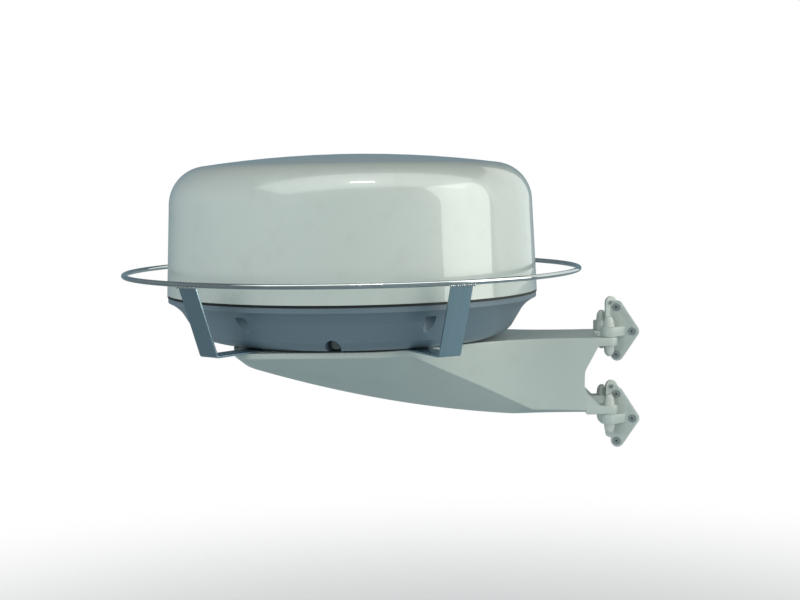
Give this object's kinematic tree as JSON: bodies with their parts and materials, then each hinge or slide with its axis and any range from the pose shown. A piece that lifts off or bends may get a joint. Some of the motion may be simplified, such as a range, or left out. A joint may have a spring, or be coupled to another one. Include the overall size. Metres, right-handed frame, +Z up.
{
  "type": "radar dome antenna",
  "caption": "Closed-dome marine radar antenna on a cast mast bracket, with a polished guard ring on bent straps and hinged riveted feet; motor-driven array inside.",
  "frame": {"origin": "on the axis of the mast the bracket is riveted to, midway between the upper and lower hinge lugs", "axes": "+Z up along the mast, the arm and dome towards -X, +Y to the far side of the bracket"},
  "size_m": [0.8448, 0.756, 0.4858],
  "materials": {
    "cap_gelcoat": "off-white glossy gelcoat on a moulded cap",
    "base_gelcoat": "blue-grey satin gelcoat",
    "black_rubber": "matt black sealing rubber",
    "stainless": "bright marine stainless hardware",
    "polished_stainless": "mirror polished stainless rod",
    "stainless_sheet": "fine brushed stainless flat bar",
    "powder_coat": "pale grey powder coat on cast aluminium",
    "white_plastic": "off-white moulded plastic",
    "light_plastic": "light grey moulded plastic",
    "black_plastic": "black moulded plastic",
    "rivet_alloy": "plain aluminium alloy pop rivets",
    "sheet_alloy": "folded and machined aluminium sheet",
    "cast_alloy": "as-cast aluminium, machined faces",
    "bearing_steel": "ground steel",
    "brass": "plain brass",
    "copper": "copper",
    "ferrite": "dark grey magnet",
    "circuit_board": "green solder-masked board",
    "motor_black": "black coated motor case",
    "gear_nylon": "natural nylon"
  },
  "bodies": {
    "mount_frame": {"radome_cap": "cap_gelcoat", "radome_base": "base_gelcoat", "seal_gasket": "black_rubber", "cap_screws": "stainless", "cap_inserts": "brass", "drain_valve": "light_plastic", "cable_gland": "black_plastic", "gland_locknut": "black_plastic", "mounting_studs": "stainless", "stud_nuts": "stainless", "seal_washers": "black_rubber", "guard_ring": "polished_stainless", "guard_strap_long": "stainless_sheet", "guard_strap_halves": "stainless_sheet", "bracket_arm": "powder_coat", "hinge_bolts": "stainless", "hinge_nuts": "stainless", "hinge_washers": "white_plastic", "hinge_caps": "white_plastic", "chassis_plate": "sheet_alloy", "chassis_screws": "stainless", "bearing_housing": "cast_alloy", "shaft_bearings": "bearing_steel", "rotary_joint": "brass", "waveguide": "brass", "transceiver_case": "cast_alloy", "transceiver_lid": "sheet_alloy", "lid_screws": "stainless", "magnetron": "copper", "magnetron_magnet": "ferrite", "circulator": "cast_alloy", "modulator_board": "circuit_board", "main_board": "circuit_board", "board_standoffs": "brass", "board_components": "black_plastic", "drive_motor": "motor_black", "heading_sensor": "black_plastic"},
    "scanner_rotor": {"antenna_shaft": "bearing_steel", "drive_gear": "gear_nylon", "antenna_bracket": "sheet_alloy", "array_housing": "sheet_alloy", "array_board": "circuit_board", "array_patches": "copper", "heading_magnet": "ferrite"},
    "motor_rotor": {"motor_shaft": "bearing_steel", "motor_pinion": "brass"},
    "upper_near_foot_set": {"foot_upper_near": "powder_coat", "rivets_upper_near": "rivet_alloy"},
    "upper_far_foot_set": {"foot_upper_far": "powder_coat", "rivets_upper_far": "rivet_alloy"},
    "lower_near_foot_set": {"foot_lower_near": "powder_coat", "rivets_lower_near": "rivet_alloy"},
    "lower_far_foot_set": {"foot_lower_far": "powder_coat", "rivets_lower_far": "rivet_alloy"}
  },
  "joints": [
    {"name": "antenna_spin", "type": "hinge", "parent": "mount_frame", "child": "scanner_rotor", "pos_m": [-0.464, 0, 0.22], "axis": [0, 0, 1], "continuous": true},
    {"name": "motor_spin", "type": "hinge", "parent": "mount_frame", "child": "motor_rotor", "pos_m": [-0.46007, 0.05486, 0.165], "axis": [0, 0, 1], "continuous": true},
    {"name": "upper_near_hinge", "type": "hinge", "parent": "mount_frame", "child": "upper_near_foot_set", "pos_m": [-0.0457, -0.0545, 0.0712], "axis": [0, 0, 1], "range_deg": [-66, 10]},
    {"name": "upper_far_hinge", "type": "hinge", "parent": "mount_frame", "child": "upper_far_foot_set", "pos_m": [-0.0457, 0.0545, 0.0712], "axis": [0, 0, 1], "range_deg": [-10, 66]},
    {"name": "lower_near_hinge", "type": "hinge", "parent": "mount_frame", "child": "lower_near_foot_set", "pos_m": [-0.0457, -0.0545, -0.0712], "axis": [0, 0, 1], "range_deg": [-66, 10]},
    {"name": "lower_far_hinge", "type": "hinge", "parent": "mount_frame", "child": "lower_far_foot_set", "pos_m": [-0.0457, 0.0545, -0.0712], "axis": [0, 0, 1], "range_deg": [-10, 66]}
  ],
  "couplings": [
    {"joint": "motor_spin", "follows": "antenna_spin", "ratio": -4.5}
  ]
}
